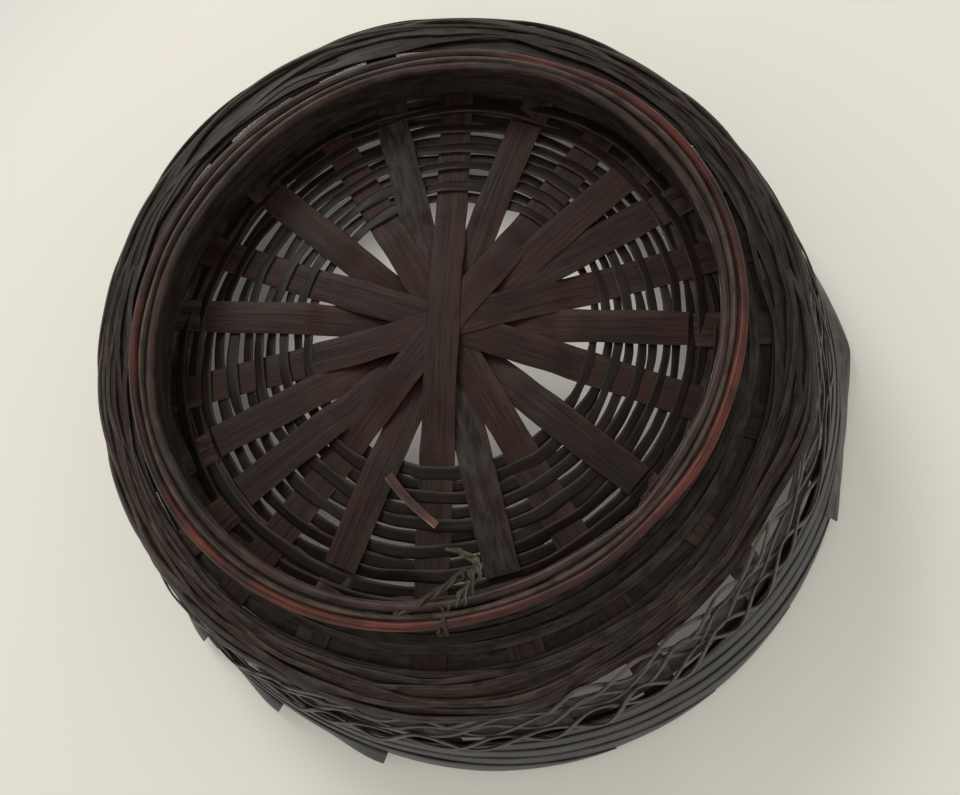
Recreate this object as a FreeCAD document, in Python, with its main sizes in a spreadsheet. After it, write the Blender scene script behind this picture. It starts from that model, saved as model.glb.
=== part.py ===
import FreeCAD, Part
import math
import os
import re

import Sketcher
from FreeCAD import Placement, Rotation, Vector

# A round basket of split bamboo: a star of flat strips woven into an open base, a foot hoop under it,
# a shoulder of thin canes, an open lattice, and a border of slanting splints under the rim.
# Millimetres, +Z up, origin on the basket's axis at the level that the foot stands on.

DRIVING_DIMENSIONS = [
    ("foot_radius", 74.4, "outside of the foot hoop"),
    ("hoop_thickness", 1.8, "thickness of the foot hoop"),
    ("base_level", 16.5, "underside of the stakes where they run flat"),
    ("splint_width", 8.8, "width of every stake and strip"),
    ("splint_thickness", 0.7, "thickness of every stake and strip"),
    ("wall_root", 94.5, "radius of the wall's line at base level"),
    ("wall_flare", 0.333, "radius that the wall gains for each unit of height"),
    ("shoulder_bend", 12.0, "outer bend radius between base and wall"),
    ("rim_height", 75.0, "top of the stakes"),
    ("clearance", 0.45, "space between the stakes and what runs round them"),
    ("weave_thickness", 1.2, "thickness of the base weave"),
    ("hole_radius", 37.0, "inner edge of the first base weaver"),
    ("weaver_pitch", 3.2, "step from one base weaver to the next"),
    ("weaver_width", 2.6, "width of a base weaver"),
    ("pile_radius", 17.0, "reach of the crossing at the centre"),
    ("landing_radius", 33.0, "where a base stake has come down to base level"),
    ("strip_reach", 64.5, "half the length of a cover strip"),
    ("strip_step", 14.0, "length at a cover strip's end over which it comes up to the weave"),
    ("strip_landing", 5.0, "length at a cover strip's end that lies flat on the weave"),
    ("side_stake_start", 66.0, "inner end of a side stake"),
    ("foot_cane_radius", 1.3, "radius of the canes on the foot's edge"),
    ("foot_cane_lift", 0.3, "height of the canes' undersides over the foot's edge"),
    ("shoulder_cane_radius", 1.1, "radius of the canes round the shoulder"),
    ("shoulder_cane_first", 3.0, "angle round the bend of the first of those canes, in degrees"),
    ("shoulder_cane_step", 12.5, "angle round the bend from one of them to the next"),
    ("band_thickness", 1.0, "thickness of the wide bands"),
    ("edge_weaver_inner", 74.5, "inner edge of the band under the outer base"),
    ("edge_weaver_outer", 81.0, "outer edge of that band"),
    ("floor_band_inner", 66.0, "inner edge of the band over the outer base"),
    ("floor_band_outer", 86.0, "outer edge of that band"),
    ("strand_height", 1.6, "height of a lattice strand"),
    ("strand_thickness", 0.8, "thickness of a lattice strand"),
    ("lattice_band_bottom", 26.0, "lower edge of the band behind the lattice"),
    ("lattice_band_top", 42.0, "upper edge of the band behind the lattice"),
    ("lower_band_bottom", 44.0, "lower edge of the lower wall band"),
    ("lower_band_top", 55.0, "upper edge of the lower wall band"),
    ("upper_band_bottom", 57.0, "lower edge of the upper wall band"),
    ("upper_band_top", 66.5, "upper edge of the upper wall band"),
    ("rim_bottom", 68.0, "lower edge of the rim hoop"),
    ("rim_top", 75.5, "upper edge of the rim hoop"),
    ("rim_thickness", 1.4, "thickness of the rim hoop"),
    ("border_bottom", 43.0, "lower edge of the slanting border"),
    ("border_slant", 46.0, "angle round the rim that one border splint covers"),
    ("border_height", 9.0, "upright height of one border splint"),
    ("sprung_bottom", 58.0, "lower edge of the border splint that has sprung loose"),
    ("sprung_top", 73.0, "upper edge of that splint"),
    ("sprung_height", 7.0, "upright height of that splint"),
    ("sprung_slant", 27.0, "angle round the rim that it covers"),
    ("sprung_start", 199.5, "direction of its lower end"),
    ("knot_depth", 3.0, "size of the knot on the foot's canes, along the radius"),
    ("knot_width", 9.0, "size of the knot round the foot"),
    ("knot_height", 8.0, "height of the knot"),
    ("knot_bottom", 2.0, "height of the knot's underside"),
    ("knot_direction", 268.0, "direction of the knot from the axis"),
    ("weaver_end_length", 17.0, "length of the weaver's end that hangs under the base"),
    ("weaver_end_start", 38.5, "radius at which that end starts"),
    ("weaver_end_direction", 302.0, "direction of that end from the axis"),
    ("seat_gap", 0.02, "space between two faces that rest on each other"),
    ("side_gap", 0.05, "space beside a small piece"),
]

# Direction of each strip in degrees, and how far its middle line passes from the axis.
BASE_STAKES = [(90.0, 2.0), (126.6, 0.3), (165.2, -2.3), (18.3, 4.1), (58.2, 3.5)]
COVER_STRIPS = [(109.8, 0.3), (138.6, 0.0), (151.2, -2.0), (2.3, 3.6), (38.3, 2.4), (74.0, 2.1)]
SIDE_STAKE_ANGLES = [110.0, 138.5, 149.4, 179.0, 216.2, 251.9, 289.5, 318.6, 333.1, 5.6, 40.5, 75.9]

BASE_WEAVER_COUNT = 11
SHOULDER_CANE_COUNT = 5
BORDER_SPLINT_COUNT = 22
LATTICE_LEVELS = [24.0, 29.5, 35.0]

document = FreeCAD.newDocument("fruit_basket")
sheet = document.addObject("Spreadsheet::Sheet", "Sizes")
for row, (alias, value, meaning) in enumerate(DRIVING_DIMENSIONS, start=1):
    sheet.set(f"A{row}", meaning)
    sheet.set(f"B{row}", str(value))
    sheet.setAlias(f"B{row}", alias)
document.recompute()

SUBPARTS = []
ALIASES = "|".join(alias for alias, _, _ in DRIVING_DIMENSIONS)


def size(expression):
    """The expression with each sheet alias written as the document refers to it."""
    return re.sub(rf"\b({ALIASES})\b", r"<<Sizes>>.\1", expression)


def value_of(expression):
    return float(sheet.evalExpression(size(expression)))


def new_body(label):
    body = document.addObject("PartDesign::Body", label)
    body.Label = label
    SUBPARTS.append(body)
    return body


def origin_feature(body, role):
    return next(feature for feature in body.Origin.OriginFeatures if feature.Role == role)


def outline(body, corners, plane="XZ_Plane"):
    """A closed sketch through corners, each an (across, up) pair of expressions of the sheet."""
    sketch = body.newObject("Sketcher::SketchObject", body.Label + "_outline")
    sketch.AttachmentSupport = [(origin_feature(body, plane), "")]
    sketch.MapMode = "FlatFace"
    places = [Vector(value_of(across), value_of(up), 0) for across, up in corners]
    count = len(places)
    for index, place in enumerate(places):
        sketch.addGeometry(Part.LineSegment(place, places[(index + 1) % count]), False)
    for index in range(count):
        sketch.addConstraint(Sketcher.Constraint("Coincident", index, 2, (index + 1) % count, 1))
    for index, (across, up) in enumerate(corners):
        for kind, expression, reading in (
            ("DistanceX", across, places[index].x),
            ("DistanceY", up, places[index].y),
        ):
            number = sketch.addConstraint(Sketcher.Constraint(kind, -1, 1, index, 1, reading))
            sketch.setExpression(f"Constraints[{number}]", size(expression))
    return sketch


def turned_ring(label, corners):
    """A ring made by turning an outline of (radius, height) corners about the axis."""
    body = new_body(label)
    sketch = outline(body, corners)
    ring = body.newObject("PartDesign::Revolution", label + "_ring")
    ring.Profile = sketch
    ring.ReferenceAxis = (sketch, ["V_Axis"])
    ring.Angle = 360
    return body


def round_cane(label, ring_radius, cane_radius, height):
    """A cane of round section bent into a level ring."""
    cane = document.addObject("Part::Torus", label)
    cane.Label = label
    cane.setExpression("Radius1", size(ring_radius))
    cane.setExpression("Radius2", size(cane_radius))
    cane.setExpression("Placement.Base.z", size(height))
    SUBPARTS.append(cane)
    return cane


def edges_across(shape, across, up):
    """Names of the edges that run across the strip at one corner of its outline."""
    names = []
    for number, edge in enumerate(shape.Edges, start=1):
        ends = [vertex.Point for vertex in edge.Vertexes]
        if all(math.hypot(end.x - across, end.z - up) < 0.01 for end in ends):
            names.append(f"Edge{number}")
    return names


def bent_strip(label, corners, rounded=(), mirrored=False):
    """A flat strip seen from its edge as an outline, and as wide as a splint.

    rounded lists (across, up, radius) expressions of the corners that are bent, not folded."""
    body = new_body(label)
    sketch = outline(body, corners)
    strip = body.newObject("PartDesign::Pad", label + "_strip")
    strip.Profile = sketch
    strip.Midplane = True
    strip.setExpression("Length", size("splint_width"))
    tip = strip
    for number, (across, up, radius) in enumerate(rounded):
        document.recompute()
        bend = body.newObject("PartDesign::Fillet", f"{label}_bend_{number}")
        bend.Base = (tip, edges_across(tip.Shape, value_of(across), value_of(up)))
        bend.setExpression("Radius", size(radius))
        tip = bend
    if mirrored:
        both = body.newObject("PartDesign::Mirrored", label + "_both_ends")
        both.TransformMode = "Whole shape"
        both.MirrorPlane = (origin_feature(body, "YZ_Plane"), [""])
        body.Tip = both
    return body


def lay(body, angle, offset=0.0):
    """Turns a strip to its direction and shifts it sideways by offset."""
    turn = Rotation(Vector(0, 0, 1), angle)
    body.Placement = Placement(turn.multVec(Vector(0, offset, 0)), turn)


# The wall's outer face leans out in a straight line. Its inner face is one splint further in.
LEAN = "sqrt(1 + wall_flare * wall_flare)"
INNER_FACE = f"splint_thickness * {LEAN}"


def wall_radius(height):
    """Expression for the radius of the stakes' outer face at a height."""
    return f"(wall_root + wall_flare * ({height} - base_level))"


WALL_BENDS = [
    ("wall_root", "base_level", "shoulder_bend"),
    (
        f"{wall_radius('base_level + splint_thickness')} - {INNER_FACE}",
        "base_level + splint_thickness",
        "shoulder_bend - splint_thickness",
    ),
]


def wall_run():
    """Corners of the part of a stake that turns up into the wall, from underside to upper side."""
    return [
        ("wall_root", "base_level"),
        (wall_radius("rim_height"), "rim_height"),
        (f"{wall_radius('rim_height')} - {INNER_FACE}", "rim_height"),
        WALL_BENDS[1][:2],
    ]


def make_base_stake(number, angle, offset):
    """A strip that rises over the strips under it at the centre and turns up at both ends."""
    crossing = f"(base_level - weave_thickness + {number - 1} * splint_thickness)"
    corners = [("0", crossing), ("pile_radius", crossing), ("landing_radius", "base_level")]
    corners += wall_run()
    corners += [
        ("landing_radius", "base_level + splint_thickness"),
        ("pile_radius", f"{crossing} + splint_thickness"),
        ("0", f"{crossing} + splint_thickness"),
    ]
    lay(bent_strip(f"base_stake_{number}", corners, WALL_BENDS, mirrored=True), angle, offset)


def make_side_stake(number, angle):
    corners = [("side_stake_start", "base_level")] + wall_run()
    corners.append(("side_stake_start", "base_level + splint_thickness"))
    lay(bent_strip(f"side_stake_{number}", corners, WALL_BENDS), angle)


def make_cover_strip(number, angle, offset):
    """A straight strip under the weave, dropped at the middle by the strips that it crosses."""
    under_weave = "(base_level - weave_thickness)"
    middle = f"({under_weave} - {number} * splint_thickness)"
    end = f"({under_weave} - splint_thickness)"
    half = [
        ("0", middle),
        ("strip_reach - strip_step", middle),
        ("strip_reach - strip_landing", end),
        ("strip_reach", end),
    ]
    corners = half + [(across, f"{up} + splint_thickness") for across, up in reversed(half)]
    lay(bent_strip(f"cover_strip_{number}", corners, mirrored=True), angle, offset)


def make_base_weaver(number):
    inner = f"(hole_radius + {number - 1} * weaver_pitch)"
    outer = f"({inner} + weaver_width)"
    low = "base_level - weave_thickness"
    high = "base_level - seat_gap"
    turned_ring(f"base_weaver_{number}", [(inner, low), (outer, low), (outer, high), (inner, high)])


def make_flat_band(label, inner, outer, low, thickness):
    """A level band, wider than it is thick."""
    high = f"{low} + {thickness}"
    turned_ring(label, [(inner, low), (outer, low), (outer, high), (inner, high)])


def make_wall_band(label, low, high, thickness, inside):
    """A band that leans with the wall, inside or outside its stakes."""
    gap = f"clearance * {LEAN}"
    depth = f"{thickness} * {LEAN}"
    near = f"- {INNER_FACE} - {gap}" if inside else f"+ {gap}"
    far = f"{near} - {depth}" if inside else f"{near} + {depth}"
    turned_ring(
        label,
        [
            (f"{wall_radius(low)} {near}", low),
            (f"{wall_radius(high)} {near}", high),
            (f"{wall_radius(high)} {far}", high),
            (f"{wall_radius(low)} {far}", low),
        ],
    )


def make_foot():
    inner = "foot_radius - hoop_thickness"
    high = "base_level - seat_gap"
    turned_ring(
        "foot_hoop", [(inner, "0"), ("foot_radius", "0"), ("foot_radius", high), (inner, high)]
    )
    lift = "foot_cane_radius + foot_cane_lift"
    round_cane("foot_cane_outer", "foot_radius + foot_cane_radius", "foot_cane_radius", lift)
    inner_ring = f"{inner} - foot_cane_radius"
    round_cane("foot_cane_inner", inner_ring, "foot_cane_radius", lift)


def make_block(label, length, width, height, direction, radius, low):
    """A small block centred on a direction, with its near face at radius and its foot at low."""
    block = document.addObject("Part::Box", label)
    block.Label = label
    for side, expression in (("Length", length), ("Width", width), ("Height", height)):
        block.setExpression(side, size(expression))
    turn = Rotation(Vector(0, 0, 1), value_of(direction))
    near_corner = Vector(value_of(radius), -value_of(width) / 2, value_of(low))
    block.Placement = Placement(turn.multVec(near_corner), turn)
    SUBPARTS.append(block)


def make_small_ends():
    """The knot that ties the foot's canes, and the cut end of a weaver that hangs under the base."""
    inside_canes = "foot_radius - hoop_thickness - 2 * foot_cane_radius"
    make_block(
        "foot_lashing",
        "knot_depth",
        "knot_width",
        "knot_height",
        "knot_direction",
        f"{inside_canes} - knot_depth - 3 * side_gap",
        "knot_bottom",
    )
    make_block(
        "loose_weaver_end",
        "weaver_end_length",
        "weaver_width",
        "splint_thickness",
        "weaver_end_direction",
        "weaver_end_start",
        "base_level - weave_thickness - splint_thickness - side_gap",
    )


def make_shoulder():
    """Thin canes side by side round the bend between base and wall."""
    centre_radius = f"(wall_root + wall_flare * shoulder_bend - shoulder_bend * {LEAN})"
    reach = "(shoulder_bend + clearance + shoulder_cane_radius)"
    for number in range(1, SHOULDER_CANE_COUNT + 1):
        turn = f"((shoulder_cane_first + {number - 1} * shoulder_cane_step) * 1 deg)"
        round_cane(
            f"shoulder_weaver_{number}",
            f"{centre_radius} + {reach} * sin({turn})",
            "shoulder_cane_radius",
            f"base_level + shoulder_bend - {reach} * cos({turn})",
        )


def climbing_splint(low, high, tall, angle_covered, standing_off):
    """A splint that climbs the outside of the leaning wall from low to high, on a left-hand helix.

    tall is its upright height, and standing_off its distance from the stakes."""
    flare = value_of("wall_flare")
    lean = math.hypot(1.0, flare)
    near = value_of(wall_radius(str(low))) + standing_off * lean
    far = near + value_of("splint_thickness") * lean
    rise = high - tall - low
    pitch = rise * 360.0 / angle_covered
    helix = Part.makeHelix(pitch, rise, near, math.degrees(math.atan(flare)), True)
    helix.translate(Vector(0, 0, low))
    corners = [
        Vector(near, 0, low),
        Vector(far, 0, low),
        Vector(far + flare * tall, 0, low + tall),
        Vector(near + flare * tall, 0, low + tall),
    ]
    section = Part.makePolygon(corners + corners[:1])
    return Part.Wire(helix.Edges).makePipeShell([section], True, True)


def make_shape(label, shape):
    feature = document.addObject("Part::Feature", label)
    feature.Label = label
    feature.Shape = shape
    SUBPARTS.append(feature)


def make_border():
    """Slanting splints side by side round the upper wall, and one that has sprung loose over them."""
    axis = Vector(0, 0, 1)
    clear = value_of("clearance")
    one = climbing_splint(
        value_of("border_bottom"),
        value_of("rim_height"),
        value_of("border_height"),
        value_of("border_slant"),
        clear,
    )
    step = 360.0 / BORDER_SPLINT_COUNT
    splints = [one.rotated(Vector(), axis, step * index) for index in range(BORDER_SPLINT_COUNT)]
    make_shape("border_splints", Part.makeCompound(splints))
    loose = climbing_splint(
        value_of("sprung_bottom"),
        value_of("sprung_top"),
        value_of("sprung_height"),
        value_of("sprung_slant"),
        2 * clear + value_of("splint_thickness"),
    )
    make_shape("loose_border_splint", loose.rotated(Vector(), axis, value_of("sprung_start")))


for position, (direction, sideways) in enumerate(BASE_STAKES, start=1):
    make_base_stake(position, direction, sideways)
for position, (direction, sideways) in enumerate(COVER_STRIPS, start=1):
    make_cover_strip(position, direction, sideways)
for position, direction in enumerate(SIDE_STAKE_ANGLES, start=1):
    make_side_stake(position, direction)
for position in range(1, BASE_WEAVER_COUNT + 1):
    make_base_weaver(position)
make_foot()
make_small_ends()
make_flat_band(
    "edge_weaver",
    "edge_weaver_inner",
    "edge_weaver_outer",
    "base_level - clearance - band_thickness",
    "band_thickness",
)
make_flat_band(
    "floor_band",
    "floor_band_inner",
    "floor_band_outer",
    "base_level + splint_thickness + side_gap",
    "band_thickness",
)
make_shoulder()
for position, level in enumerate(LATTICE_LEVELS, start=1):
    bottom, top = f"({level})", f"({level} + strand_height)"
    make_wall_band(f"lattice_strand_{position}", bottom, top, "strand_thickness", inside=False)
make_wall_band("lattice_band", "lattice_band_bottom", "lattice_band_top", "band_thickness", inside=True)
make_wall_band("wall_band_lower", "lower_band_bottom", "lower_band_top", "band_thickness", inside=True)
make_wall_band("wall_band_upper", "upper_band_bottom", "upper_band_top", "band_thickness", inside=True)
make_wall_band("rim_hoop", "rim_bottom", "rim_top", "rim_thickness", inside=True)
make_border()

document.recompute()
failed = [item.Label for item in document.Objects if {"Invalid", "Error"} & set(item.State)]
for subpart in SUBPARTS:
    if subpart.Shape.isNull() or not subpart.Shape.isValid():
        failed.append(subpart.Label)
if failed:
    raise RuntimeError(f"these did not build: {sorted(set(failed))}")

os.makedirs("parts", exist_ok=True)
for subpart in SUBPARTS:
    subpart.Shape.exportStep(f"parts/{subpart.Label}.step")
    print(f"{subpart.Label}: {len(subpart.Shape.Solids)} solid(s), {subpart.Shape.Volume:.0f} mm3")
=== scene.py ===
import bisect
import math
import random

import bpy
from mathutils import Matrix, Vector, noise


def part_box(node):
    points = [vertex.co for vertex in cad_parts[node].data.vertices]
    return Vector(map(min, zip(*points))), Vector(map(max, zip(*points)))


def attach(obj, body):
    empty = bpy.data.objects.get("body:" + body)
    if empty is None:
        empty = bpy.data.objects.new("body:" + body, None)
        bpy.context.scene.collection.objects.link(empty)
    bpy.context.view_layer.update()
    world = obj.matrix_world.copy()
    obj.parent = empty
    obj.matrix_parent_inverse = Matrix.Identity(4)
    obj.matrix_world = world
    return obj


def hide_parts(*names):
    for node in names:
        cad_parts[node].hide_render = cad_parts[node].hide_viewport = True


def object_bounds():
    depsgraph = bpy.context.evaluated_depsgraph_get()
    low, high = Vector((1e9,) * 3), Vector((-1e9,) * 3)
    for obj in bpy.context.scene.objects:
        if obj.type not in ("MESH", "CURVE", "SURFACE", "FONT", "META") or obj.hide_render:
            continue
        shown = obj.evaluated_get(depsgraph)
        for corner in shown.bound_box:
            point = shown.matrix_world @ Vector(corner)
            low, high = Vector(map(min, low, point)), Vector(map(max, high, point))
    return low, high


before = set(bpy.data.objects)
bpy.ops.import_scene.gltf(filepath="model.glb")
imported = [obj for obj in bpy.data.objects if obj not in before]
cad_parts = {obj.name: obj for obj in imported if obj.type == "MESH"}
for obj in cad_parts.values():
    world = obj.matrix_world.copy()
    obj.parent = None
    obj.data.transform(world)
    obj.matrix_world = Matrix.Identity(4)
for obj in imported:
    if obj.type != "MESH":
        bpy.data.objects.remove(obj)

# The looks of a round basket of split bamboo. Lengths are in millimetres until a mesh is made.
# Heights run up from the foot, and angles run anticlockwise round the axis seen from above.

CAD_LOW, CAD_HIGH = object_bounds()
MM = 0.001
RNG = random.Random(11)
DOWN = Vector((0, 0, -1))


def ring_size(node):
    """Outer radius, underside and top of a ring node."""
    low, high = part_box(node)
    return high.x / MM, low.z / MM, high.z / MM


def numbered(prefix):
    """Names of the nodes that start with a prefix, in the order of the number at their end."""
    names = [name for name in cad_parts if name.startswith(prefix)]
    return sorted(names, key=lambda name: int(name[len(prefix):]))


# ---------------------------------------------------------------- sizes that the frame gives

FOOT_RADIUS, FOOT_EDGE, BASE_LEVEL = ring_size("foot_hoop")
HOLE_EDGE = ring_size("base_weaver_1")[0]
WEAVER_PITCH = ring_size("base_weaver_2")[0] - HOLE_EDGE
WEAVERS = numbered("base_weaver_")
CANE_RADIUS = (ring_size("foot_cane_outer")[0] - FOOT_RADIUS) / 2
CANE_LEVEL = sum(ring_size("foot_cane_outer")[1:]) / 2
STRAND_RADIUS, _, STRAND_TOP = ring_size("lattice_strand_1")
HIGH_STRAND_RADIUS, _, HIGH_STRAND_TOP = ring_size("lattice_strand_3")
FLARE = (HIGH_STRAND_RADIUS - STRAND_RADIUS) / (HIGH_STRAND_TOP - STRAND_TOP)
_, RIM_BOTTOM, RIM_TOP = ring_size("rim_hoop")

# ---------------------------------------------------------------- sizes of the strips

STRIP_WIDTH = 8.8
STRIP_DEPTH = 0.6
WEAVER_WIDTH = 2.7
WEAVER_DEPTH = 0.5
STRAND_STAND_OFF = 1.32
HOOP_DEPTH = 1.6
HOOP_WALL = 1.8
WEAVER_INSET = 1.3
RING_STEP = 1.6
THIN_RING_STEP = 1.2
STAKE_TOP = RIM_TOP - 0.5
STAKE_LEVEL = BASE_LEVEL + 0.35
COVER_LEVEL = BASE_LEVEL - 1.05
BEND_RADIUS = 11.65
SWING = 0.62
STRIP_REACH = 64.5
OPEN_SIDE = 224.0
WALL_OFF_ROUND = 1.8
WALL_SHIFTED = 65.0
WALL_LONG_WAY = 50.0
SIDE_STAKE_START = 66.0
FLOOR_BAND_INNER = 65.0

# Each strip's direction in degrees, how far its middle line passes from the axis, and its place in the
# pile at the centre, counted from below.
BASE_STAKES = [(90.0, 2.0, 0), (126.6, 0.3, 1), (165.2, -2.3, 2), (18.3, 4.1, 3), (58.2, 3.5, 4)]
COVER_STRIPS = [
    (109.8, 0.3, 6),
    (138.6, 0.0, 7),
    (151.2, -2.0, 10),
    (2.3, 3.6, 8),
    (38.3, 2.4, 9),
    (74.0, 2.1, 5),
]
SIDE_STAKE_ANGLES = [110.0, 138.5, 149.4, 179.0, 216.2, 251.9, 289.5, 318.6, 333.1, 5.6, 40.5, 75.9]
HUB_CENTRE = Vector((-3.0, 1.9, 0))
WEAVER_STEP = 1.4


def wall_radius(height):
    """Radius of the stakes' outer face at a height on the leaning wall."""
    return STRAND_RADIUS - STRAND_STAND_OFF + FLARE * (height - STRAND_TOP)


WALL_TILT = math.atan(FLARE)
BEND_HEIGHT = STAKE_LEVEL + BEND_RADIUS
BEND_REACH = (
    wall_radius(BEND_HEIGHT) - STRIP_DEPTH / 2 - BEND_RADIUS * math.sqrt(1 + FLARE * FLARE)
)


def out_of_round(angle):
    """How far the foot stands outside a true circle: it is pressed into a slight oval."""
    return 1.7 * math.cos(math.radians(2 * (angle - 150)))


def drawn_out(place):
    """A place on the wall moved for its shape: it is a slight oval and sits a little off the foot's axis."""
    radius = math.hypot(place.x, place.y)
    share = smooth(76, 95, radius)
    if share == 0:
        return place
    turn = math.atan2(place.y, place.x)
    off = math.cos(turn - math.radians(WALL_SHIFTED)) + math.cos(2 * (turn - math.radians(WALL_LONG_WAY)))
    return place + Vector((place.x, place.y, 0)) * (WALL_OFF_ROUND * share * off / radius)


def polar(angle, radius, height):
    turn = math.radians(angle)
    return Vector((radius * math.cos(turn), radius * math.sin(turn), height))


def smooth(low, high, value):
    share = min(1.0, max(0.0, (value - low) / (high - low)))
    return share * share * (3 - 2 * share)


def near(angle, target):
    """How many degrees an angle is from a target, by the short way."""
    return abs((angle - target + 180) % 360 - 180)


def openness(angle):
    """1 on the side where the weave under the lattice has slipped down and light comes through, else 0."""
    return 1 - smooth(15, 34, near(angle, OPEN_SIDE))


def drift(angle, seed, detail=1.0):
    """Slow change round a ring, about -1 to 1, that closes on itself."""
    turn = math.radians(angle)
    return 2 * noise.noise(Vector((detail * math.cos(turn), detail * math.sin(turn), 3.7 * seed + 0.31)))


def sway(place, seed):
    """Slow change along a line, about -1 to 1."""
    return 2 * noise.noise(Vector((place, 5.3 * seed + 0.17, 1.9)))


# ---------------------------------------------------------------- meshes

# Sections as (across, through) shares of half the width and half the depth.
FLAT = [
    (-1.0, -0.3),
    (-0.93, -0.85),
    (-0.5, -1.0),
    (0.0, -1.0),
    (0.5, -1.0),
    (0.93, -0.85),
    (1.0, -0.3),
    (1.0, 0.3),
    (0.93, 0.85),
    (0.5, 1.0),
    (0.0, 1.0),
    (-0.5, 1.0),
    (-0.93, 0.85),
    (-1.0, 0.3),
]
ROUND_CORNERS = 12
ROUND = [
    (
        math.cos(2 * math.pi * corner / ROUND_CORNERS),
        math.sin(2 * math.pi * corner / ROUND_CORNERS),
    )
    for corner in range(ROUND_CORNERS)
]


def tone(brightness=1.0, redness=0.5, haze=0.3, spread=0.15):
    """A strip's tone: its brightness, its redness and its grey haze, which is partly dust and partly painted
    sheen, each a little by chance.
    """
    return (
        brightness * (1 + RNG.uniform(-spread, spread)),
        redness + RNG.uniform(-spread, spread),
        haze + RNG.uniform(-spread, spread),
    )


def ribbon(profile, stations, shade, closed=False):
    """A strip or cane. Each station is its middle, the way its outer face looks, its width and its depth.

    shade is one tone for the whole of it, or a list with a tone for each station."""
    return {"profile": profile, "stations": stations, "shade": shade, "closed": closed}


def add_ribbon(mesh, piece):
    """Adds one ribbon's corners, faces and grain to the lists of a mesh."""
    profile, stations, closed = piece["profile"], piece["stations"], piece["closed"]
    shade = piece["shade"]
    first, count, size = len(mesh["corners"]), len(stations), len(profile)
    along, lot = 0.0, RNG.uniform(0, 40)
    for index, (middle, facing, width, depth) in enumerate(stations):
        before = stations[index - 1][0] if index or closed else middle
        after = stations[(index + 1) % count][0] if index + 1 < count or closed else middle
        ahead = (after - before).normalized()
        side = ahead.cross(facing).normalized()
        out = side.cross(ahead)
        if index:
            along += (middle - stations[index - 1][0]).length
        for across, through in profile:
            place = middle + side * (across * width / 2) + out * (through * depth / 2)
            mesh["corners"].append(drawn_out(place) * MM)
            mesh["grain"].append((along, across * width / 2, lot))
            mesh["edge"].append(across)
            mesh["shade"].append(shade[index] if isinstance(shade, list) else shade)
    for index in range(count if closed else count - 1):
        here, there = first + index * size, first + (index + 1) % count * size
        for corner in range(size):
            onward = (corner + 1) % size
            mesh["faces"].append((here + corner, there + corner, there + onward, here + onward))
    if not closed:
        mesh["faces"].append(tuple(range(first, first + size)))
        last = first + (count - 1) * size
        mesh["faces"].append(tuple(reversed(range(last, last + size))))


def make_piece(nodes, ribbons, material):
    """One object of one or more ribbons that stands for the CAD nodes named."""
    mesh = {"corners": [], "faces": [], "grain": [], "edge": [], "shade": []}
    for piece in ribbons:
        add_ribbon(mesh, piece)
    data = bpy.data.meshes.new("look_" + nodes[0])
    data.from_pydata(mesh["corners"], [], mesh["faces"])
    for name, kind, field in (
        ("grain", "FLOAT_VECTOR", "vector"),
        ("shade", "FLOAT_VECTOR", "vector"),
        ("edge", "FLOAT", "value"),
    ):
        values = mesh[name]
        flat = values if kind == "FLOAT" else [number for value in values for number in value]
        data.attributes.new(name, kind, "POINT").data.foreach_set(field, flat)
    data.polygons.foreach_set("use_smooth", [True] * len(data.polygons))
    data.set_sharp_from_angle(angle=math.radians(50))
    data.materials.append(material)
    data.update()
    shown = bpy.data.objects.new(data.name, data)
    bpy.context.scene.collection.objects.link(shown)
    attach(shown, "root")
    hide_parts(*nodes)
    return shown


# ---------------------------------------------------------------- materials


def link(tree, *pairs):
    for out, into in pairs:
        tree.links.new(out, into)


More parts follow.
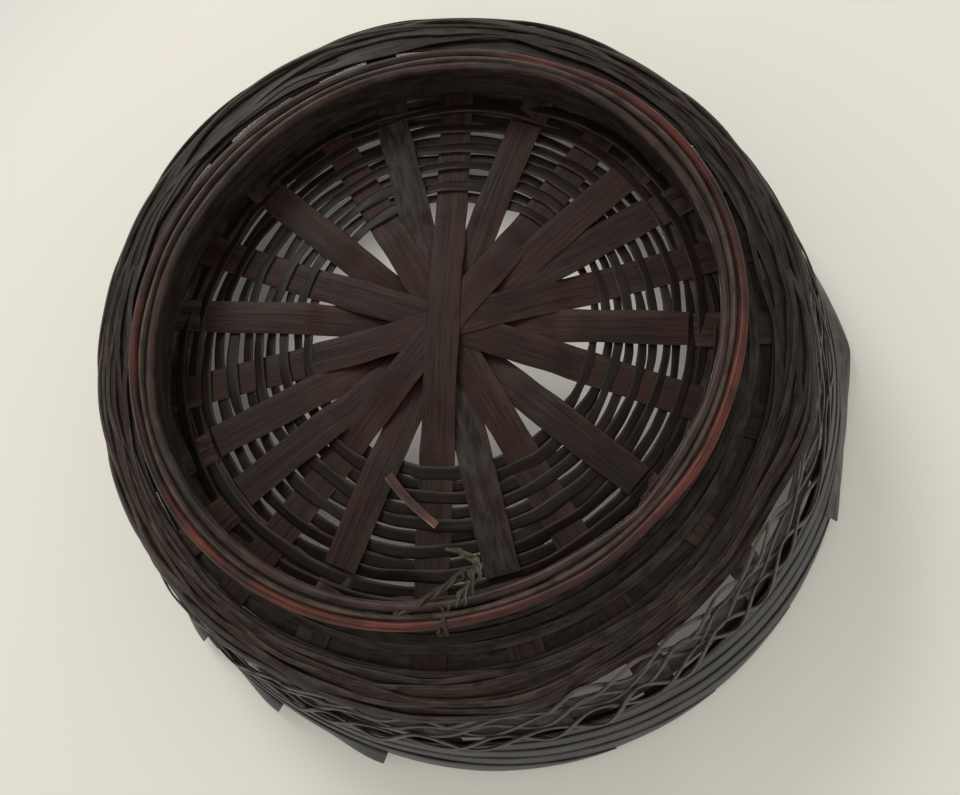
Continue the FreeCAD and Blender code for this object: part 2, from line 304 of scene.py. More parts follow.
def split_bamboo(name, deep, body, pale, red, rough, bump, edge_light):
    """Split bamboo: fibres along the strip, blotches of stain, a grey haze of dust and painted sheen, a
    painted highlight along the edges and a thin old varnish.

    deep, body and pale are the colours from groove to ridge, and red is where the stain is thin."""
    material = bpy.data.materials.new(name)
    material.use_nodes = True
    tree = material.node_tree
    nodes = tree.nodes
    shader = nodes["Principled BSDF"]

    def node(kind, **values):
        made = nodes.new(kind)
        for key, value in values.items():
            setattr(made, key, value)
        return made

    def streaks(scale, detail, rough_share):
        """Noise that is stretched along the strip."""
        mapping = node("ShaderNodeMapping")
        mapping.inputs["Scale"].default_value = scale
        made = node("ShaderNodeTexNoise")
        made.inputs["Scale"].default_value = 1.0
        made.inputs["Detail"].default_value = detail
        made.inputs["Roughness"].default_value = rough_share
        link(tree, (grain.outputs["Vector"], mapping.inputs["Vector"]))
        link(tree, (mapping.outputs["Vector"], made.inputs["Vector"]))
        return made.outputs["Fac"]

    def remap(value, low, high, to_low, to_high):
        made = node("ShaderNodeMapRange")
        for socket, number in (
            ("From Min", low),
            ("From Max", high),
            ("To Min", to_low),
            ("To Max", to_high),
        ):
            made.inputs[socket].default_value = number
        link(tree, (value, made.inputs["Value"]))
        return made.outputs["Result"]

    def blend(kind, share, first, second):
        """Mixes two colours by a share, which is a number or a socket."""
        made = node("ShaderNodeMix", data_type="RGBA", blend_type=kind)
        if isinstance(share, float):
            made.inputs["Factor"].default_value = share
        else:
            link(tree, (share, made.inputs["Factor"]))
        for colour, socket in ((first, made.inputs["A"]), (second, made.inputs["B"])):
            if isinstance(colour, tuple):
                socket.default_value = (*colour, 1)
            else:
                link(tree, (colour, socket))
        return made.outputs["Result"]

    def math_of(operation, first, second):
        made = node("ShaderNodeMath", operation=operation)
        for index, value in enumerate((first, second)):
            if isinstance(value, float):
                made.inputs[index].default_value = value
            else:
                link(tree, (value, made.inputs[index]))
        return made.outputs["Value"]

    grain = node("ShaderNodeAttribute", attribute_name="grain")
    shade = node("ShaderNodeAttribute", attribute_name="shade")
    edge = node("ShaderNodeAttribute", attribute_name="edge")
    parts = node("ShaderNodeSeparateXYZ")
    link(tree, (shade.outputs["Vector"], parts.inputs["Vector"]))
    brightness, redness, haze = (parts.outputs[axis] for axis in "XYZ")

    fibre = streaks((0.035, 1.7, 7.0), 5.0, 0.75)
    hair = streaks((0.05, 3.2, 3.0), 2.0, 0.5)
    blotch = streaks((0.06, 0.12, 2.0), 3.0, 0.6)
    smear = streaks((0.16, 0.5, 5.0), 4.0, 0.6)

    ridge = remap(fibre, 0.38, 0.60, 0.0, 1.0)
    colour = blend("MIX", ridge, deep, body)
    colour = blend("MIX", remap(fibre, 0.56, 0.76, 0.0, 0.8), colour, pale)
    stained = math_of("MULTIPLY", redness, remap(blotch, 0.38, 0.68, 0.0, 1.0))
    colour = blend("MIX", stained, colour, red)
    groove = remap(hair, 0.34, 0.48, 0.15, 1.0)
    colour = blend("MULTIPLY", 1.0, colour, blend("MIX", groove, (0.0, 0.0, 0.0), (1.0, 1.0, 1.0)))
    # A grey haze laid on by the smear noise: partly dust, partly painted sheen.
    dust_and_sheen = math_of("MULTIPLY", haze, remap(smear, 0.4, 0.7, 0.0, 1.0))
    colour = blend("MIX", dust_and_sheen, colour, (0.062, 0.055, 0.049))
    # Painted highlight: the strip is lightened along one edge, and half as much along the other, as if its
    # edges caught the light; the smear noise breaks it up.
    near_edge = remap(edge.outputs["Fac"], 0.45, 0.95, 0.0, edge_light)
    far_edge = remap(edge.outputs["Fac"], -0.9, -1.0, 0.0, 0.5 * edge_light)
    lightened = math_of("MULTIPLY", math_of("MAXIMUM", near_edge, far_edge), remap(smear, 0.3, 0.6, 0.2, 1.0))
    colour = blend("MIX", lightened, colour, pale)
    level = node("ShaderNodeCombineXYZ")
    for axis in "XYZ":
        link(tree, (brightness, level.inputs[axis]))
    colour = blend("MULTIPLY", 1.0, colour, level.outputs["Vector"])
    link(tree, (colour, shader.inputs["Base Color"]))

    roughness = remap(fibre, 0.3, 0.7, rough + 0.1, rough - 0.08)
    link(tree, (roughness, shader.inputs["Roughness"]))
    shader.inputs["Specular IOR Level"].default_value = 0.16
    shader.inputs["Coat Weight"].default_value = 0.02
    shader.inputs["Coat Roughness"].default_value = 0.35
    shader.inputs["Sheen Weight"].default_value = 0.02
    shader.inputs["Sheen Roughness"].default_value = 0.5

    relief = node("ShaderNodeBump")
    relief.inputs["Strength"].default_value = bump
    relief.inputs["Distance"].default_value = 0.12 * MM
    height = math_of("ADD", fibre, math_of("MULTIPLY", hair, 0.6))
    link(tree, (height, relief.inputs["Height"]), (relief.outputs["Normal"], shader.inputs["Normal"]))
    return material


def make_materials():
    brown = dict(
        deep=(0.0075, 0.0035, 0.0026), body=(0.030, 0.0130, 0.0088), pale=(0.066, 0.038, 0.028)
    )
    dark = dict(deep=(0.0045, 0.003, 0.0023), body=(0.017, 0.0100, 0.0072), pale=(0.058, 0.043, 0.035))
    green = dict(deep=(0.007, 0.006, 0.005), body=(0.020, 0.018, 0.015), pale=(0.060, 0.056, 0.048))
    rust = (0.050, 0.016, 0.011)
    return {
        "stake_bamboo": split_bamboo("stake_bamboo", **brown, red=rust, rough=0.5, bump=1.0, edge_light=0.7),
        "weaver_bamboo": split_bamboo(
            "weaver_bamboo", **dark, red=(0.028, 0.011, 0.008), rough=0.42, bump=0.6, edge_light=1.0
        ),
        "border_bamboo": split_bamboo(
            "border_bamboo", **green, red=(0.028, 0.017, 0.013), rough=0.46, bump=0.5, edge_light=0.9
        ),
        "hoop_bamboo": split_bamboo(
            "hoop_bamboo", **dark, red=(0.024, 0.013, 0.010), rough=0.42, bump=0.35, edge_light=0.5
        ),
        "red_cane": split_bamboo(
            "red_cane",
            deep=(0.010, 0.005, 0.004),
            body=(0.034, 0.017, 0.014),
            pale=(0.080, 0.055, 0.048),
            red=(0.150, 0.036, 0.024),
            rough=0.36,
            bump=0.3,
            edge_light=0.0,
        ),
        "grey_cane": split_bamboo(
            "grey_cane",
            deep=(0.008, 0.006, 0.005),
            body=(0.024, 0.018, 0.016),
            pale=(0.075, 0.062, 0.055),
            red=(0.050, 0.020, 0.016),
            rough=0.36,
            bump=0.3,
            edge_light=0.0,
        ),
        "lashing_fibre": split_bamboo(
            "lashing_fibre",
            deep=(0.014, 0.011, 0.007),
            body=(0.042, 0.036, 0.025),
            pale=(0.14, 0.12, 0.09),
            red=(0.05, 0.03, 0.02),
            rough=0.75,
            bump=1.0,
            edge_light=0.6,
        ),
    }


MATERIALS = make_materials()


def show(nodes, ribbons, slot):
    return make_piece(nodes, ribbons, MATERIALS[slot])


# ---------------------------------------------------------------- base


def turned(direction, across, along):
    """A plan point given along and across a strip's direction."""
    turn = Matrix.Rotation(math.radians(direction), 3, "Z")
    return turn @ Vector((along, across, 0))


def pile_height(rank, under_weave, reach):
    """Height of a strip's middle at a distance from the axis: in its place in the pile at the centre,
    then on or under its neighbours, and from the first weaver on over or under the weave."""
    pile = BASE_LEVEL - 2.9 + 0.5 * rank
    beside = BASE_LEVEL + (-0.15 if under_weave else -0.8)
    outside = COVER_LEVEL if under_weave else STAKE_LEVEL
    height = pile + (beside - pile) * smooth(12, 29, reach)
    return height + (outside - height) * smooth(30.5, HOLE_EDGE - 2, reach)


def steps(start, end, spacing):
    count = max(1, round(abs(end - start) / spacing))
    return [start + (end - start) * index / count for index in range(count + 1)]


def round_the_axis(spacing):
    """Angles all the way round, without the last one, which is the first again."""
    return steps(0, 360, spacing)[:-1]


def stake_half(start, height_of):
    """Places along a stake from start outwards and up the wall: distance out, height and face's tilt."""
    places = [(reach, height_of(reach), 0.0) for reach in steps(start, BEND_REACH, 2.0)]
    for tilt in steps(0, math.pi / 2 - WALL_TILT, 0.12)[1:]:
        places.append(
            (
                BEND_REACH + BEND_RADIUS * math.sin(tilt),
                BEND_HEIGHT - BEND_RADIUS * math.cos(tilt),
                tilt,
            )
        )
    _, low, tilt = places[-1]
    for height in steps(low, STAKE_TOP, 3.0)[1:]:
        places.append((wall_radius(height) - STRIP_DEPTH / 2, height, tilt))
    return places


def stake_stations(direction, offset, places, seed):
    """Stations of a stake through places, which run out along its direction, or back where negative."""
    stations = []
    for reach, height, tilt in places:
        bow = 0.35 * sway(reach / 40, seed)
        middle = turned(direction, offset + bow, reach)
        middle.z = height
        face = turned(direction, 0, math.copysign(math.sin(tilt), reach))
        face.z = -math.cos(tilt)
        width = STRIP_WIDTH * (1 + 0.035 * sway(reach / 9, seed + 20))
        stations.append((middle, face, width, STRIP_DEPTH))
    return stations


def base_stakes():
    for number, (direction, offset, rank) in enumerate(BASE_STAKES, start=1):
        half = stake_half(0.0, lambda reach: pile_height(rank, False, reach))
        back = [(-reach, height, tilt) for reach, height, tilt in reversed(half[1:])]
        stations = stake_stations(direction, offset, back + half, number)
        shade = tone(0.8, 0.8, 0.1, 0.1)
        show([f"base_stake_{number}"], [ribbon(FLAT, stations, shade)], "stake_bamboo")


def side_stakes():
    for number, direction in enumerate(SIDE_STAKE_ANGLES, start=1):
        half = stake_half(SIDE_STAKE_START, lambda reach: STAKE_LEVEL)
        stations = stake_stations(direction, 0.0, half, number + 10)
        shade = tone(1.15, 0.55, 0.5)
        show([f"side_stake_{number}"], [ribbon(FLAT, stations, shade)], "stake_bamboo")


def cover_strips():
    for number, (direction, offset, rank) in enumerate(COVER_STRIPS, start=1):
        drop = 0.55 if number == 2 else 0.0
        stations = []
        for along in steps(-STRIP_REACH, STRIP_REACH, 2.0):
            distance = math.hypot(along, offset)
            height = pile_height(rank, True, distance) - drop * smooth(28, 36, distance)
            middle = turned(direction, offset + 0.4 * sway(along / 45, number + 40), along)
            middle.z = height - 0.15 * sway(along / 14, number + 60)
            width = STRIP_WIDTH * (1 + 0.035 * sway(along / 9, number + 80))
            stations.append((middle, DOWN, width, STRIP_DEPTH))
        shade = (0.75, 0.0, 0.8) if number == 6 else tone(0.8, 0.75, 0.1, 0.1)
        show([f"cover_strip_{number}"], [ribbon(FLAT, stations, shade)], "stake_bamboo")


def arms(strips, radius):
    """Angles at which straight strips cross a circle round the axis, in order."""
    angles = []
    for direction, offset, _ in strips:
        lean = math.degrees(math.asin(offset / radius))
        angles += [(direction + lean) % 360, (direction + 180 - lean) % 360]
    return sorted(angles)


def weave(angle, stakes, start):
    """From -1 under a stake to 1 over it, alternately at the stakes' angles."""
    index = bisect.bisect_right(stakes, angle % 360)
    before = stakes[index - 1] - (360 if index == 0 else 0)
    after = stakes[index % len(stakes)] + (360 if index == len(stakes) else 0)
    share = (angle % 360 - before) / (after - before)
    side = math.cos(math.pi * share) * (1 if (index + start) % 2 else -1)
    return math.copysign(abs(side) ** 0.6, side)


def base_weavers():
    for number, name in enumerate(WEAVERS):
        edge = HOLE_EDGE + WEAVER_PITCH * number
        radius = edge - WEAVER_INSET
        stakes = arms(BASE_STAKES, radius)
        centre = HUB_CENTRE * (1 - number / len(WEAVERS))
        brightness, redness, haze = tone(0.74, 0.65, 0.15)
        stations, shade = [], []
        for angle in round_the_axis(WEAVER_STEP):
            wander = 0.42 * drift(angle, number, 2.6) + 0.18 * drift(angle, number + 30, 7.0)
            side = weave(angle, stakes, number)
            height = STAKE_LEVEL + SWING * side
            thin = 1 - smooth(20, 42, near(angle, 178)) + 0.6 * (1 - smooth(15, 40, near(angle, 20)))
            thick = 1 - smooth(45, 70, near(angle, 265))
            width = WEAVER_WIDTH * (1.17 - 0.32 * thin + 0.06 * thick + 0.15 * drift(angle, number + 60, 5.0))
            pressed = out_of_round(angle) * smooth(0.3, 1.0, number / (len(WEAVERS) - 1))
            middle = polar(angle, radius + wander + pressed, height) + centre
            tilt = 0.22 * drift(angle, number + 90, 3.0) + 0.25
            face = DOWN + polar(angle, tilt, 0)
            stations.append((middle, face, width, WEAVER_DEPTH))
            shaded = 1 - smooth(30, 80, near(angle, 10))
            shade.append((brightness * (1 - 0.35 * shaded), redness, haze))
        show([name], [ribbon(FLAT, stations, shade, closed=True)], "weaver_bamboo")


# ---------------------------------------------------------------- foot


def level_ring(radius_of, height_of, width, depth, upright, seed):
    """Stations of a ring whose radius and height change with the angle. upright stands on its edge."""
    stations = []
    for angle in round_the_axis(RING_STEP):
        face = polar(angle, 1, 0) if upright else DOWN
        breadth = width * (1 + 0.03 * drift(angle, seed + 7, 4.0))
        stations.append((polar(angle, radius_of(angle), height_of(angle)), face, breadth, depth))
    return stations


# Angles at which the foot's two canes meet.
CANES_MEET = (221.0, 114.5)


def foot():
    middle_radius = FOOT_RADIUS - HOOP_WALL / 2
    stations = level_ring(
        lambda angle: middle_radius + out_of_round(angle) + 0.25 * drift(angle, 3),
        lambda angle: BASE_LEVEL / 2 + 0.15 * drift(angle, 5),
        BASE_LEVEL - 0.4,
        HOOP_DEPTH,
        True,
        1,
    )
    show(["foot_hoop"], [ribbon(FLAT, stations, tone(2.1, 0.1, 0.25, 0.05), closed=True)], "hoop_bamboo")

    outer_radius = FOOT_RADIUS + CANE_RADIUS
    inner_radius = FOOT_RADIUS - HOOP_WALL - CANE_RADIUS

    def meeting(angle):
        return max(1 - smooth(0, 16, near(angle, target)) for target in CANES_MEET)

    outer = level_ring(
        lambda angle: outer_radius + out_of_round(angle) + 0.5 * drift(angle, 8, 1.5) - 0.8 * meeting(angle),
        lambda angle: CANE_LEVEL + 0.35 * drift(angle, 9, 2.0) - 0.4 * meeting(angle),
        2 * CANE_RADIUS,
        2 * CANE_RADIUS,
        False,
        2,
    )
    inner = level_ring(
        lambda angle: inner_radius + out_of_round(angle) + 0.5 * drift(angle, 12, 1.6) + 1.2 * meeting(angle),
        lambda angle: CANE_LEVEL + 0.4 * drift(angle, 13, 2.0) + 0.9 * meeting(angle),
        1.9 * CANE_RADIUS,
        1.9 * CANE_RADIUS,
        False,
        3,
    )
    reds = []
    for index in range(len(outer)):
        angle = 360 * index / len(outer)
        faded = 1 - smooth(35, 60, near(angle, 60))
        reds.append((1.0, 1.1 - 0.95 * faded + 0.5 * drift(angle, 30, 2.5), 0.2 + 0.4 * faded))
    show(["foot_cane_outer"], [ribbon(ROUND, outer, reds, closed=True)], "red_cane")
    show(["foot_cane_inner"], [ribbon(ROUND, inner, (1.4, 0.9, 0.4), closed=True)], "grey_cane")


def twisted(points, radius, strands, turns, shade, frayed):
    """Thin fibres twisted together along a line of points, each a Vector."""
    count = 14 * (len(points) - 1)
    ribbons = []
    for strand in range(strands):
        stations = []
        for index in range(count + 1):
            share = index / count * (len(points) - 1)
            here = min(int(share), len(points) - 2)
            a = points[max(here - 1, 0)]
            b, c = points[here], points[here + 1]
            d = points[min(here + 2, len(points) - 1)]
            t = share - here
            middle = 0.5 * (
                2 * b
                + (c - a) * t
                + (2 * a - 5 * b + 4 * c - d) * t * t
                + (3 * b - a - 3 * c + d) * t ** 3
            )
            turn = 2 * math.pi * (turns * index / count + strand / strands)
            spread = radius * (1 + frayed * sway(index / 6, strand))
            middle = middle + Vector((math.cos(turn) * spread, 0, math.sin(turn) * spread))
            thick = radius * (0.95 + 0.25 * sway(index / 5, strand + 9))
            stations.append((middle, Vector((0.2, 0.3, -1)), thick, thick * 0.8))
        ribbons.append(ribbon(ROUND, stations, shade))
    return ribbons


def lashing():
    """The frayed tie that holds the foot's canes, twisted round them and cut off short."""
    loop = [
        polar(263.4, 70.3, 3.0),
        polar(260.9, 70.1, 1.6),
        polar(257.9, 66.3, 1.6),
        polar(255.9, 62.3, 3.0),
        polar(257.5, 59.5, 4.2),
        polar(261.0, 57.4, 5.0),
    ]
    tail = [
        polar(273.5, 73.2, 1.2),
        polar(268.3, 69.6, 1.3),
        polar(262.3, 65.5, 1.6),
        polar(258.4, 62.7, 3.4),
    ]
    band = [
        polar(264.5, 75.0, 3.2),
        polar(264.0, 76.6, 1.4),
        polar(263.5, 72.6, 0.9),
        polar(263.2, 69.4, 1.8),
        polar(263.0, 69.0, 4.6),
    ]
    fibres = twisted(loop, 0.95, 5, 1.6, tone(1.9, 0.2, 0.6), 1.0)
    fibres += twisted(tail, 0.8, 4, 1.3, tone(1.4, 0.5, 0.4), 0.9)
    fibres += twisted(band, 0.75, 3, 0.8, tone(1.2, 0.4, 0.4), 0.8)
    show(["foot_lashing"], fibres, "lashing_fibre")


def loose_end():
    """A weaver's cut end that hangs free under the base."""
    start, end = polar(285.4, 38.8, 0), polar(266.5, 50.2, 0)
    stations, shade = [], []
    for share in steps(0, 1, 0.06):
        middle = start.lerp(end, share) + polar(5, 1.2 * math.sin(math.pi * share), 0)
        middle.z = COVER_LEVEL - 0.75 - 1.1 * share
        stations.append((middle, DOWN, WEAVER_WIDTH * (1 - 0.3 * share), WEAVER_DEPTH))
        fresh_cut = smooth(0.75, 1.0, share)
        shade.append((2.4 + 4.5 * fresh_cut, 1.9, 0.1 - 0.1 * fresh_cut))
    show(["loose_weaver_end"], [ribbon(FLAT, stations, shade)], "weaver_bamboo")


# ---------------------------------------------------------------- shoulder and wall


def all_stakes():
    """Angles of every stake in the wall, in order."""
    return sorted(arms(BASE_STAKES, FOOT_RADIUS) + [angle % 360 for angle in SIDE_STAKE_ANGLES])


STAKES = all_stakes()


def edge_bands():
    """The flat weavers under the outer base, which follow the foot's oval, and the band over it."""
    outer, low, high = ring_size("edge_weaver")
    weavers, count = [], 3
    pitch = (outer + 0.6 - FOOT_RADIUS) / count
    for number in range(count):
        stations = level_ring(
            lambda angle: FOOT_RADIUS + pitch * (number + 0.5)
            + (1 - number / count) * out_of_round(angle)
            + 0.35 * drift(angle, 20 + number, 2.0),
            lambda angle: (low + high) / 2 + 0.35 * weave(angle, STAKES, number),
            pitch + 0.1,
            0.6,
            False,
            21 + number,
        )
        weavers.append(ribbon(FLAT, stations, tone(1.25, 0.5, 0.45, 0.2), closed=True))
    show(["edge_weaver"], weavers, "weaver_bamboo")

    outer, low, high = ring_size("floor_band")
    stations = level_ring(
        lambda angle: (outer + FLOOR_BAND_INNER) / 2 + 0.3 * drift(angle, 26, 2.0),
        lambda angle: (low + high) / 2 + 0.12 * weave(angle, STAKES, 1),
        outer - FLOOR_BAND_INNER,
        0.6,
        False,
        27,
    )
    show(["floor_band"], [ribbon(FLAT, stations, tone(1.0, 0.3, 0.5), closed=True)], "weaver_bamboo")


def round_bend(turn, stand_off):
    """Distance out, height and outward way at an angle round the shoulder, off the stakes' outer face."""
    reach = BEND_RADIUS + STRIP_DEPTH / 2 + stand_off
    return (
        BEND_REACH + reach * math.sin(turn),
        BEND_HEIGHT - reach * math.cos(turn),
        (math.sin(turn), -math.cos(turn)),
    )


# The strips of each shoulder weaver, from the stakes outwards: width, depth, distance off the stakes, how
# far it wanders round the shoulder in degrees, and brightness.
SHOULDER_LAYERS = [
    (4.0, 0.8, 0.95, 2.4, 0.55),
    (1.7, 0.9, 1.9, 6.0, 0.8),
    (1.4, 0.8, 2.3, 8.0, 1.05),
]
SHOULDER_START = 5.0
SHOULDER_PITCH = 11.0


def shoulder():
    """Wide weavers that lap each other round the shoulder, over and under the stakes, and thin strands on
    each that wander across its neighbours."""
    for number, name in enumerate(numbered("shoulder_weaver_")):
        ribbons = []
        for width, depth, lift, wander, light in SHOULDER_LAYERS:
            seed = 100 + 3 * number + 40 * light
            brightness, redness, haze = tone(light, 0.9, 0.5, 0.2)
            stations, shade = [], []
            for angle in round_the_axis(THIN_RING_STEP):
                swing = drift(angle, seed, 1.8) + 0.35 * drift(angle, seed + 1, 5.0)
                turn = SHOULDER_START + SHOULDER_PITCH * number + wander * swing
                turn *= 1 - 0.36 * openness(angle)
                side = weave(angle, STAKES, number)
                out, height, (face_out, face_up) = round_bend(math.radians(turn), lift + 0.35 * side)
                stations.append((polar(angle, out, height), polar(angle, face_out, face_up), width, depth))
                # The shoulder's strips are made lighter round 290 degrees.
                lightened = 1 - smooth(40, 90, near(angle, 290))
                shade.append((brightness * (1 + 0.4 * lightened), redness, haze))
            ribbons.append(ribbon(FLAT, stations, shade, closed=True))
        show([name], ribbons, "weaver_bamboo")


def on_wall(angle, height, stand_off):
    """A place on the wall and its outward way, at a distance off the stakes' outer face."""
    out = polar(angle, math.cos(WALL_TILT), -math.sin(WALL_TILT))
    return polar(angle, wall_radius(height), height) + stand_off * out, out


WAVES = 23
STRAND_WIDTH = 1.4

# For each lattice strand: how far its middle runs over its CAD level, how far it swings, and how far it
# stands off the stakes. The top one swings over the border's lower edge.
LATTICE = [(0.0, 3.6, 1.0), (0.5, 4.0, 1.2), (4.0, 5.4, 1.75)]


def lattice():
    """Thin strands that wave up and down, each against the next, and leave long diamond openings."""
    for number, (name, (raised, reach, stand_off)) in enumerate(zip(numbered("lattice_strand_"), LATTICE)):
        _, low, high = ring_size(name)
        ribbons = []
        for part in range(2):
            seed = 200 + 5 * number + 20 * part
            stations = []
            for angle in round_the_axis(THIN_RING_STEP):
                phase = math.pi * (number + part) + 1.5 * drift(angle, seed, 2.0)
                turn = math.radians(WAVES * angle) + phase
                swing = reach + 1.0 * drift(angle, seed + 2, 3.0) + 1.2 * openness(angle)
                height = (low + high) / 2 + raised + swing * math.sin(turn)
                height += 0.8 * drift(angle, seed + 1, 2.5)
                height -= (5.0 - 1.5 * number) * openness(angle)
                middle, out = on_wall(angle, height, stand_off + 0.3 * part + 0.3 * math.cos(turn))
                stations.append((middle, out, STRAND_WIDTH, STRIP_DEPTH))
            ribbons.append(ribbon(FLAT, stations, tone(1.6, 0.8, 0.6, 0.25), closed=True))
        show([name], ribbons, "weaver_bamboo")


LATTICE_BAND_LAP = 4.0
LATTICE_BAND_DROP = 3.0
LATTICE_BAND_SLIP = 7.5


def lattice_band():
    """The dark band behind the lattice, which has slipped up on one side and leaves openings there."""
    _, low, high = ring_size("lattice_band")
    high += LATTICE_BAND_LAP
    stations = []
    for angle in round_the_axis(RING_STEP):
        slipped = LATTICE_BAND_SLIP * openness(angle)
        bottom = low - LATTICE_BAND_DROP + slipped + 0.6 * drift(angle, 320, 3.0)
        side = weave(angle, STAKES, 1)
        middle, out = on_wall(angle, (bottom + high) / 2, -STRIP_DEPTH / 2 - 0.75 + 0.15 * side)
        stations.append((middle, out, (high - bottom) / math.cos(WALL_TILT), WEAVER_DEPTH))
    show(["lattice_band"], [ribbon(FLAT, stations, tone(0.8, 0.2, 0.5), closed=True)], "border_bamboo")


WALL_BAND_SWING = 0.6


def wall_band(node, start):
    """A wide band up the inside of the wall, in and out of the stakes."""
    _, low, high = ring_size(node)
    stations = []
    for angle in round_the_axis(RING_STEP):
        side = weave(angle, STAKES, start)
        height = (low + high) / 2 + 0.35 * drift(angle, 300 + start, 2.5)
        middle, out = on_wall(angle, height, -STRIP_DEPTH / 2 + WALL_BAND_SWING * side)
        width = (high - low) / math.cos(WALL_TILT) * (1 + 0.02 * drift(angle, 310 + start, 3.0))
        stations.append((middle, out, width, WEAVER_DEPTH))
    show([node], [ribbon(FLAT, stations, tone(1.0, 0.3, 0.5), closed=True)], "weaver_bamboo")


def rim():
    middle_height = (RIM_BOTTOM + RIM_TOP) / 2
    stations = []
    for angle in round_the_axis(RING_STEP):
        height = middle_height + 0.12 * drift(angle, 401, 2.0)
        middle, out = on_wall(angle, height, -STRIP_DEPTH - 0.9 + 0.1 * drift(angle, 400, 2.0))
        stations.append((middle, out, (RIM_TOP - RIM_BOTTOM) / math.cos(WALL_TILT) - 0.4, 1.3))
    show(["rim_hoop"], [ribbon(FLAT, stations, tone(1.0, 0.3, 0.4), closed=True)], "hoop_bamboo")


BORDER_COUNT = 22
BORDER_SLANT = 46.0
BORDER_WIDTH = 9.6
BORDER_RISE = 0.5
BORDER_STAND_OFF = 0.95
LAP_TILT = 0.06
PROUD_ENDS = (283.0, 297.0, 311.0)
PROUD_BY = 2.2
PROUD_OVER = 10.0


def border():
    """Wide splints that slant up round the wall, each lapping the next, cut level at the rim, where the
    ends of a few stand proud."""
    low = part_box("border_splints")[0].z / MM + BORDER_RISE
    slope = (STAKE_TOP - low - BORDER_WIDTH) / BORDER_SLANT
    run_out = BORDER_WIDTH / slope
    ribbons = []
    for number in range(BORDER_COUNT):
        start = number * 360 / BORDER_COUNT + RNG.uniform(-1.5, 1.5)
        lift = RNG.uniform(0, 0.12)
        end = (start - BORDER_SLANT) % 360
        proud = any(near(end, angle) < 180 / BORDER_COUNT for angle in PROUD_ENDS)
        stations = []
        for turned_by in steps(-run_out, BORDER_SLANT + (0 if proud else run_out), 1.5):
            lower = low + slope * turned_by
            upper = min(lower + BORDER_WIDTH, STAKE_TOP)
            lower = max(lower, low)
            if upper - lower < 0.5:
                continue
            angle = start - turned_by
            bulge = BORDER_STAND_OFF + lift + 0.1 * sway(turned_by / 9, 500 + number)
            width = (upper - lower) / math.cos(WALL_TILT)
            off = PROUD_BY * smooth(BORDER_SLANT - PROUD_OVER, BORDER_SLANT, turned_by) if proud else 0.0
            middle, out = on_wall(angle, (lower + upper) / 2, bulge + off / 2)
            rising = polar(angle, math.sin(WALL_TILT), math.cos(WALL_TILT))
            face = out + Vector((0, 0, LAP_TILT)) - rising * (off / width)
            stations.append((middle, face, width, STRIP_DEPTH))
        ribbons.append(ribbon(FLAT, stations, tone(0.82, 0.4, 0.6, 0.28)))
    show(["border_splints"], ribbons, "border_bamboo")


# Directions along the sprung splint, and how far its edge stands off the wall there.
SPRUNG = [(158.0, 0.0), (166.0, 1.9), (173.2, 3.8), (181.0, 1.2), (189.0, 0.2), (195.0, 0.9), (199.9, 2.4)]


def sprung_off(angle):
    for (before, near_off), (after, far_off) in zip(SPRUNG, SPRUNG[1:]):
        if angle <= after:
            return near_off + (far_off - near_off) * (angle - before) / (after - before)
    return SPRUNG[-1][1]


def loose_splint():
    """A border splint that has sprung off the wall: its ends stand away and its middle still touches."""
    width = 8.5
    edge_height = RIM_TOP - 3.5
    wall_edge = wall_radius(edge_height) + 1.4
    stations = []
    for angle in steps(SPRUNG[0][0], SPRUNG[-1][0], 1.2):
        off = sprung_off(angle)
        lean = WALL_TILT + math.asin(off * math.cos(WALL_TILT) / width)
        across = polar(angle, math.sin(lean), math.cos(lean))
        middle = polar(angle, wall_edge + off, edge_height) - across * (width / 2)
        stations.append((middle, polar(angle, math.cos(lean), -math.sin(lean)), width, 0.4))
    show(["loose_border_splint"], [ribbon(FLAT, stations, (1.8, 0.1, 1.0))], "border_bamboo")


base_stakes()
side_stakes()
cover_strips()
base_weavers()
foot()
lashing()
loose_end()
edge_bands()
shoulder()
lattice()
lattice_band()
wall_band("wall_band_lower", 0)
wall_band("wall_band_upper", 1)
rim()
border()
loose_splint()

# ---------------------------------------------------------------- stage, lights and camera

# The back cloth's own light: the least of it, the distances from the axis over which it fades, and the
# stretch along Y over which it grows, in metres.
CLOTH_LIGHT = 0.09
CLOTH_LIT_FADES = (0.085, 0.112)
CLOTH_LIT_GROWS = (-0.03, 0.04)
CLOTH_GAP = 0.0012
FLOOR_GAP = 0.0005


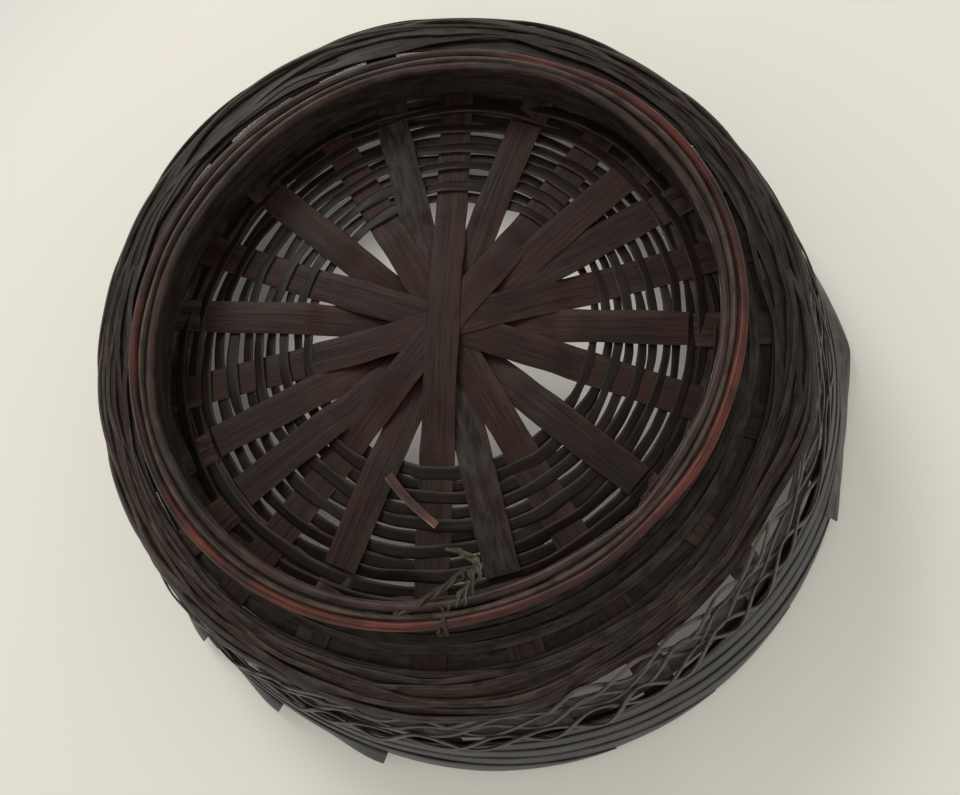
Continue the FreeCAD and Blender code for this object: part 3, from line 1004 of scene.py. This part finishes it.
def cloth_material(name, colour, glow, fade):
    """A pale matt surface that is seen from its front only, and whose rim fades out where fade is given.

    glow is the least and the most light that it has of its own, which grows towards +Y."""
    material = bpy.data.materials.new(name)
    material.use_nodes = True
    tree = material.node_tree
    nodes = tree.nodes
    shader = nodes["Principled BSDF"]
    shader.inputs["Base Color"].default_value = (*colour, 1)
    shader.inputs["Roughness"].default_value = 0.9
    shader.inputs["Specular IOR Level"].default_value = 0.1
    shader.inputs["Emission Color"].default_value = (*colour, 1)
    clear = nodes.new("ShaderNodeBsdfTransparent")
    mix = nodes.new("ShaderNodeMixShader")
    geometry = nodes.new("ShaderNodeNewGeometry")
    if glow:
        place = nodes.new("ShaderNodeSeparateXYZ")
        distance = nodes.new("ShaderNodeVectorMath")
        distance.operation = "LENGTH"
        far_way = nodes.new("ShaderNodeMapRange")
        far_way.inputs["From Min"].default_value, far_way.inputs["From Max"].default_value = CLOTH_LIT_GROWS
        far_way.inputs["To Min"].default_value, far_way.inputs["To Max"].default_value = glow
        inside = nodes.new("ShaderNodeMapRange")
        inside.interpolation_type = "SMOOTHSTEP"
        inside.inputs["From Min"].default_value, inside.inputs["From Max"].default_value = CLOTH_LIT_FADES
        inside.inputs["To Min"].default_value = 1.0
        inside.inputs["To Max"].default_value = 0.0
        product = nodes.new("ShaderNodeMath")
        product.operation = "MULTIPLY"
        total = nodes.new("ShaderNodeMath")
        total.operation = "ADD"
        total.inputs[1].default_value = CLOTH_LIGHT
        link(
            tree,
            (geometry.outputs["Position"], place.inputs["Vector"]),
            (geometry.outputs["Position"], distance.inputs[0]),
            (place.outputs["Y"], far_way.inputs["Value"]),
            (distance.outputs["Value"], inside.inputs["Value"]),
            (far_way.outputs["Result"], product.inputs[0]),
            (inside.outputs["Result"], product.inputs[1]),
            (product.outputs["Value"], total.inputs[0]),
            (total.outputs["Value"], shader.inputs["Emission Strength"]),
        )
    hidden = geometry.outputs["Backfacing"]
    if fade:
        distance = nodes.new("ShaderNodeVectorMath")
        distance.operation = "LENGTH"
        away = nodes.new("ShaderNodeMapRange")
        away.interpolation_type = "SMOOTHSTEP"
        away.inputs["From Min"].default_value, away.inputs["From Max"].default_value = fade
        most = nodes.new("ShaderNodeMath")
        most.operation = "MAXIMUM"
        link(
            tree,
            (geometry.outputs["Position"], distance.inputs[0]),
            (distance.outputs["Value"], away.inputs["Value"]),
            (away.outputs["Result"], most.inputs[0]),
            (hidden, most.inputs[1]),
        )
        hidden = most.outputs["Value"]
    link(
        tree,
        (hidden, mix.inputs["Fac"]),
        (shader.outputs["BSDF"], mix.inputs[1]),
        (clear.outputs["BSDF"], mix.inputs[2]),
        (mix.outputs["Shader"], nodes["Material Output"].inputs["Surface"]),
    )
    return material


def sheet(name, half, height, faces_down, material, folds=0.0):
    """A level pale sheet that is only seen, so that it neither shades nor lights the object."""
    count = 160 if folds else 1
    corners = []
    for row in range(count + 1):
        for column in range(count + 1):
            x, y = (2 * column / count - 1) * half, (2 * row / count - 1) * half
            lift = folds * noise.noise(Vector((x * 9 + y * 3, y * 2.5 - x * 5, 0.3))) if folds else 0.0
            corners.append((x, y, height + abs(lift)))
    faces = []
    for row in range(count):
        for column in range(count):
            here = row * (count + 1) + column
            quad = (here, here + 1, here + count + 2, here + count + 1)
            faces.append(tuple(reversed(quad)) if faces_down else quad)
    data = bpy.data.meshes.new(name)
    data.from_pydata(corners, [], faces)
    data.polygons.foreach_set("use_smooth", [True] * len(faces))
    data.materials.append(material)
    made = bpy.data.objects.new(name, data)
    bpy.context.scene.collection.objects.link(made)
    made.visible_shadow = False
    made.visible_diffuse = False
    made.visible_glossy = False


def area_light(name, place, target, size, power, colour):
    data = bpy.data.lights.new(name, "AREA")
    data.shape = "DISK"
    data.size = size
    data.energy = power
    data.color = colour
    made = bpy.data.objects.new(name, data)
    made.location = place
    made.rotation_mode = "QUATERNION"
    made.rotation_quaternion = (Vector(target) - Vector(place)).to_track_quat("-Z", "Y")
    made.visible_camera = False
    bpy.context.scene.collection.objects.link(made)


def make_stage():
    floor = cloth_material("floor_cloth", (0.80, 0.79, 0.76), None, None)
    sheet("floor", 10.0, FOOT_EDGE * MM - FLOOR_GAP, False, floor)
    cloth = cloth_material("back_cloth", (0.80, 0.78, 0.72), (0.0, 0.6), (0.20, 0.31))
    sheet("mouth_cloth", 0.4, CAD_HIGH.z + CLOTH_GAP, True, cloth, folds=0.004)
    world = bpy.data.worlds.new("studio")
    world.use_nodes = True
    world.node_tree.nodes["Background"].inputs["Color"].default_value = (0.84, 0.82, 0.77, 1)
    world.node_tree.nodes["Background"].inputs["Strength"].default_value = 0.8
    bpy.context.scene.world = world
    bpy.context.scene.view_settings.view_transform = "Standard"
    area_light("key_below", (0.55, 0.75, -0.85), (0, 0, 0.03), 0.5, 6.0, (1.0, 0.98, 0.95))
    area_light("key_above", (0.35, 0.45, 1.15), (0, 0, 0.03), 0.7, 8.0, (1.0, 0.98, 0.95))


def make_camera():
    """The photographer's place: under the basket, a little to one side, looking up at its foot."""
    right = Vector((-0.98796, 0.03956, 0.14944))
    up = Vector((0.0, 0.96660, -0.25610))
    back = right.cross(up).normalized()
    data = bpy.data.cameras.new("camera")
    data.sensor_width = 36.0
    data.lens = 35.6
    data.clip_start = 0.01
    made = bpy.data.objects.new("camera", data)
    made.matrix_world = Matrix.Translation((-0.0497, -0.0783, -0.2162)) @ Matrix(
        (right, up, back)
    ).transposed().to_4x4()
    bpy.context.scene.collection.objects.link(made)
    bpy.context.scene.camera = made


make_stage()
make_camera()
